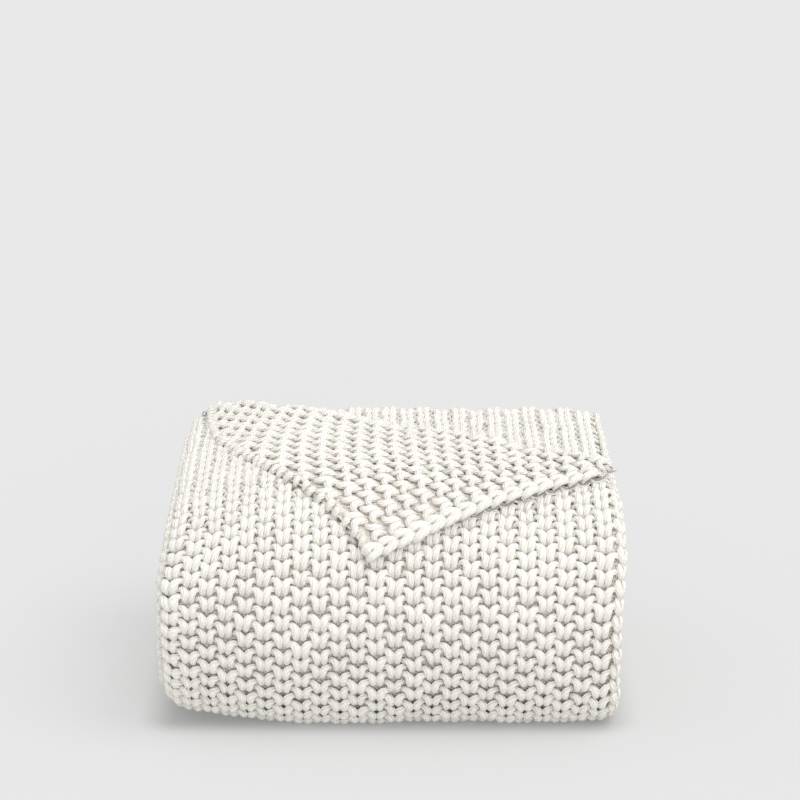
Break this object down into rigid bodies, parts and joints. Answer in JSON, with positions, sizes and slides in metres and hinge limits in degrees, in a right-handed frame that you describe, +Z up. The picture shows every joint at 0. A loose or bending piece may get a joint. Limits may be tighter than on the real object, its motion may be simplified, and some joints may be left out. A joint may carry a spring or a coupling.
{
  "type": "folded throw blanket",
  "caption": "Cream knitted throw folded into a thick soft block, its plies bending round the front, with the free corner of the top ply turned over and hanging round the front shoulder.",
  "frame": {"origin": "on the floor, under the middle of the folded block", "axes": "+X to the right along the front fold, +Y to the back, +Z up"},
  "size_m": [0.34, 0.3, 0.185],
  "materials": {
    "knit": "matte",
    "inner_knit": "matte",
    "knitted_edge": "matte"
  },
  "bodies": {
    "folded_stack": {"bottom_third_ply_1": "knit", "bottom_third_ply_2": "inner_knit", "bottom_third_ply_3": "inner_knit", "bottom_third_ply_4": "inner_knit", "bottom_third_ply_5": "inner_knit", "bottom_third_ply_6": "inner_knit", "bottom_third_ply_7": "inner_knit", "bottom_third_ply_8": "inner_knit", "inner_third_ply_1": "knit", "inner_third_ply_2": "inner_knit", "inner_third_ply_3": "inner_knit", "inner_third_ply_4": "inner_knit", "inner_third_ply_5": "inner_knit", "inner_third_ply_6": "inner_knit", "inner_third_ply_7": "inner_knit", "inner_third_ply_8": "inner_knit", "top_third_ply_1": "knit", "top_third_ply_2": "inner_knit", "top_third_ply_3": "inner_knit", "top_third_ply_4": "inner_knit", "top_third_ply_5": "inner_knit", "top_third_ply_6": "inner_knit", "top_third_ply_7": "inner_knit", "top_third_ply_8": "inner_knit", "front_fold_ply_1": "knit", "front_fold_ply_2": "inner_knit", "front_fold_ply_3": "inner_knit", "front_fold_ply_4": "inner_knit", "front_fold_ply_5": "inner_knit", "front_fold_ply_6": "inner_knit", "front_fold_ply_7": "inner_knit", "front_fold_ply_8": "inner_knit", "back_fold_ply_1": "knit", "back_fold_ply_2": "inner_knit", "back_fold_ply_3": "inner_knit", "back_fold_ply_4": "inner_knit", "back_fold_ply_5": "inner_knit", "back_fold_ply_6": "inner_knit", "back_fold_ply_7": "inner_knit", "back_fold_ply_8": "inner_knit", "halving_fold_1": "inner_knit", "halving_fold_2": "inner_knit", "halving_fold_3": "inner_knit", "halving_fold_4": "inner_knit", "front_selvedge_chain": "knitted_edge", "corner_fold": "knit"},
    "turned_corner": {"corner_panel": "knit", "corner_cast_on_edge": "knitted_edge"},
    "hanging_shoulder": {"shoulder_panel": "knit", "shoulder_cast_on_edge": "knitted_edge", "shoulder_selvedge_chain": "knitted_edge"},
    "hanging_tip": {"tip_panel": "knit", "tip_cast_on_edge": "knitted_edge", "tip_selvedge_chain": "knitted_edge"}
  },
  "joints": [
    {"name": "corner_turn", "type": "hinge", "parent": "folded_stack", "child": "turned_corner", "pos_m": [0.0775, 0.004, 0.1778], "axis": [-0.8447, 0.5352, 0], "range_deg": [0, 170], "deforming": ["corner_fold"]},
    {"name": "shoulder_uncurl", "type": "hinge", "parent": "turned_corner", "child": "hanging_shoulder", "pos_m": [0, -0.0612, 0.185], "axis": [-1, 0, 0], "range_deg": [0, 11]},
    {"name": "tip_uncurl", "type": "hinge", "parent": "hanging_shoulder", "child": "hanging_tip", "pos_m": [0, -0.09724, 0.17799], "axis": [-1, 0, 0], "range_deg": [0, 25]}
  ]
}
